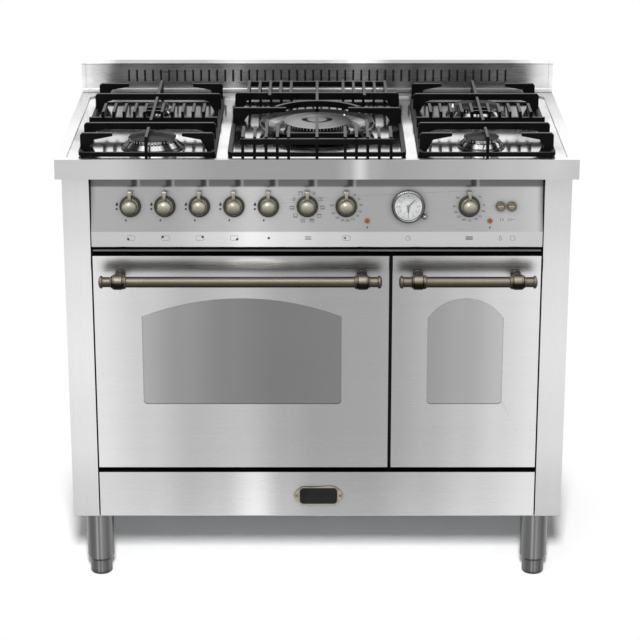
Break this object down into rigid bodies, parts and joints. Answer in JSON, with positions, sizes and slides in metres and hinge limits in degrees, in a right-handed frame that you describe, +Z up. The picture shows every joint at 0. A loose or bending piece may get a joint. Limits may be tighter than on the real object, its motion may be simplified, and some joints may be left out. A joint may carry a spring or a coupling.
{
  "type": "range cooker",
  "caption": "Free-standing range cooker with gas burners and cast-iron grates over a large and a small drop-door oven, lever knobs, a round clock and a bottom drawer.",
  "frame": {"origin": "centre of the footprint at floor level: the middle of the bounding box in X and Y, with z = 0 under the feet", "axes": "+X to the right of someone facing the cooker, +Y to its back (the doors face -Y), +Z up"},
  "size_m": [1, 0.645, 0.955],
  "materials": {
    "brushed_steel": "fine brushed stainless steel, satin",
    "zinc_steel": "bare zinc-plated sheet",
    "black_enamel": "black vitreous enamel, semi-gloss",
    "oven_enamel": "dark speckled oven enamel, gloss",
    "bright_wire": "chromed wire",
    "grey_glass": "grey mirrored oven glass, polished",
    "aged_brass": "aged brass, polished and slightly darkened",
    "burner_alloy": "turned and polished alloy",
    "cast_iron": "matt black enamelled cast iron"
  },
  "bodies": {
    "casing": {"base_pan": "zinc_steel", "side_panel_left": "brushed_steel", "side_panel_right": "brushed_steel", "back_panel": "zinc_steel", "front_frame": "black_enamel", "control_panel": "brushed_steel", "worktop": "brushed_steel", "backsplash": "brushed_steel", "oven_cavity_left": "oven_enamel", "oven_rack_left": "bright_wire", "oven_cavity_right": "oven_enamel", "oven_rack_right": "bright_wire", "door_hinge_left": "zinc_steel", "door_hinge_right": "zinc_steel", "leg_sleeve_front_left": "brushed_steel", "leg_sleeve_front_right": "brushed_steel", "leg_sleeve_rear_left": "brushed_steel", "leg_sleeve_rear_right": "brushed_steel", "burner_body_front_left": "burner_alloy", "burner_cap_front_left": "black_enamel", "burner_body_rear_left": "burner_alloy", "burner_cap_rear_left": "black_enamel", "burner_body_front_right": "burner_alloy", "burner_cap_front_right": "black_enamel", "burner_body_rear_right": "burner_alloy", "burner_cap_rear_right": "black_enamel", "burner_body_wok": "burner_alloy", "burner_cap_wok_ring": "black_enamel", "burner_cap_wok_inner": "black_enamel", "clock_case": "aged_brass"},
    "left_door": {"door_skin_left": "brushed_steel", "door_window_left": "grey_glass", "door_liner_left": "oven_enamel", "door_handle_left": "aged_brass"},
    "right_door": {"door_skin_right": "brushed_steel", "door_window_right": "grey_glass", "door_liner_right": "oven_enamel", "door_handle_right": "aged_brass"},
    "bottom_drawer": {"drawer": "brushed_steel"},
    "left_grate": {"grate_left": "cast_iron"},
    "centre_grate": {"grate_centre": "cast_iron"},
    "right_grate": {"grate_right": "cast_iron"},
    "gas_knob_1": {"knob_gas_1": "aged_brass"},
    "gas_knob_2": {"knob_gas_2": "aged_brass"},
    "gas_knob_3": {"knob_gas_3": "aged_brass"},
    "gas_knob_4": {"knob_gas_4": "aged_brass"},
    "gas_knob_5": {"knob_gas_5": "aged_brass"},
    "function_knob": {"knob_oven_function": "aged_brass"},
    "thermostat_knob": {"knob_oven_thermostat": "aged_brass"},
    "small_oven_knob": {"knob_small_oven": "aged_brass"},
    "crown": {"clock_crown": "aged_brass"},
    "minute_hand": {"clock_minute_hand": "black_enamel"},
    "hour_hand": {"clock_hour_hand": "black_enamel"},
    "light_button": {"push_button_1": "aged_brass"},
    "timer_button": {"push_button_2": "aged_brass"},
    "fan": {"convection_fan": "zinc_steel"},
    "front_left_foot": {"foot_front_left": "brushed_steel"},
    "front_right_foot": {"foot_front_right": "brushed_steel"},
    "rear_left_foot": {"foot_rear_left": "brushed_steel"},
    "rear_right_foot": {"foot_rear_right": "brushed_steel"}
  },
  "joints": [
    {"name": "left_door_hinge", "type": "hinge", "parent": "casing", "child": "left_door", "pos_m": [-0.14725, -0.2405, 0.2638], "axis": [1, 0, 0], "range_deg": [0, 90], "stiffness_Nm_per_rad": 8, "springref_deg": -11.46},
    {"name": "right_door_hinge", "type": "hinge", "parent": "casing", "child": "right_door", "pos_m": [0.29075, -0.2405, 0.2638], "axis": [1, 0, 0], "range_deg": [0, 90], "stiffness_Nm_per_rad": 4.5, "springref_deg": -11.46},
    {"name": "drawer_slide", "type": "slide", "parent": "casing", "child": "bottom_drawer", "axis": [0, -1, 0], "range_m": [0, 0.3]},
    {"name": "left_grate_lift", "type": "slide", "parent": "casing", "child": "left_grate", "axis": [0, 0, 1], "range_m": [0, 0.1]},
    {"name": "centre_grate_lift", "type": "slide", "parent": "casing", "child": "centre_grate", "axis": [0, 0, 1], "range_m": [0, 0.1]},
    {"name": "right_grate_lift", "type": "slide", "parent": "casing", "child": "right_grate", "axis": [0, 0, 1], "range_m": [0, 0.1]},
    {"name": "gas_knob_1_turn", "type": "hinge", "parent": "casing", "child": "gas_knob_1", "pos_m": [-0.3595, -0.24899, 0.78956], "axis": [0, -0.9848, 0.1736], "range_deg": [0, 210]},
    {"name": "gas_knob_2_turn", "type": "hinge", "parent": "casing", "child": "gas_knob_2", "pos_m": [-0.293, -0.24899, 0.78956], "axis": [0, -0.9848, 0.1736], "range_deg": [0, 210]},
    {"name": "gas_knob_3_turn", "type": "hinge", "parent": "casing", "child": "gas_knob_3", "pos_m": [-0.2265, -0.24899, 0.78956], "axis": [0, -0.9848, 0.1736], "range_deg": [0, 210]},
    {"name": "gas_knob_4_turn", "type": "hinge", "parent": "casing", "child": "gas_knob_4", "pos_m": [-0.16, -0.24899, 0.78956], "axis": [0, -0.9848, 0.1736], "range_deg": [0, 210]},
    {"name": "gas_knob_5_turn", "type": "hinge", "parent": "casing", "child": "gas_knob_5", "pos_m": [-0.0935, -0.24899, 0.78956], "axis": [0, -0.9848, 0.1736], "range_deg": [0, 210]},
    {"name": "function_knob_turn", "type": "hinge", "parent": "casing", "child": "function_knob", "pos_m": [-0.0185, -0.24899, 0.78956], "axis": [0, -0.9848, 0.1736], "continuous": true},
    {"name": "thermostat_knob_turn", "type": "hinge", "parent": "casing", "child": "thermostat_knob", "pos_m": [0.0565, -0.24899, 0.78956], "axis": [0, -0.9848, 0.1736], "range_deg": [-270, 0]},
    {"name": "small_oven_knob_turn", "type": "hinge", "parent": "casing", "child": "small_oven_knob", "pos_m": [0.2935, -0.24899, 0.78956], "axis": [0, -0.9848, 0.1736], "range_deg": [-290, 0]},
    {"name": "crown_turn", "type": "hinge", "parent": "casing", "child": "crown", "pos_m": [0.176, -0.25392, 0.79042], "axis": [0.848, -0.092, -0.5219], "continuous": true},
    {"name": "minute_hand_turn", "type": "hinge", "parent": "casing", "child": "minute_hand", "pos_m": [0.176, -0.24899, 0.78956], "axis": [0, -0.9848, 0.1736], "continuous": true},
    {"name": "hour_hand_turn", "type": "hinge", "parent": "casing", "child": "hour_hand", "pos_m": [0.176, -0.24899, 0.78956], "axis": [0, -0.9848, 0.1736], "continuous": true},
    {"name": "light_button_press", "type": "slide", "parent": "casing", "child": "light_button", "axis": [0, 0.9848, -0.1736], "range_m": [0, 0.0025], "stiffness_N_per_m": 400, "springref_m": -0.001},
    {"name": "timer_button_press", "type": "slide", "parent": "casing", "child": "timer_button", "axis": [0, 0.9848, -0.1736], "range_m": [0, 0.0025], "stiffness_N_per_m": 400, "springref_m": -0.001},
    {"name": "fan_spin", "type": "hinge", "parent": "casing", "child": "fan", "pos_m": [-0.14725, 0.1768, 0.48555], "axis": [0, 1, 0], "continuous": true},
    {"name": "front_left_foot_screw", "type": "slide", "parent": "casing", "child": "front_left_foot", "axis": [0, 0, -1], "range_m": [0, 0.04]},
    {"name": "front_right_foot_screw", "type": "slide", "parent": "casing", "child": "front_right_foot", "axis": [0, 0, -1], "range_m": [0, 0.04]},
    {"name": "rear_left_foot_screw", "type": "slide", "parent": "casing", "child": "rear_left_foot", "axis": [0, 0, -1], "range_m": [0, 0.04]},
    {"name": "rear_right_foot_screw", "type": "slide", "parent": "casing", "child": "rear_right_foot", "axis": [0, 0, -1], "range_m": [0, 0.04]}
  ],
  "couplings": [
    {"joint": "minute_hand_turn", "follows": "crown_turn", "ratio": 1},
    {"joint": "hour_hand_turn", "follows": "crown_turn", "ratio": 0.083333}
  ]
}
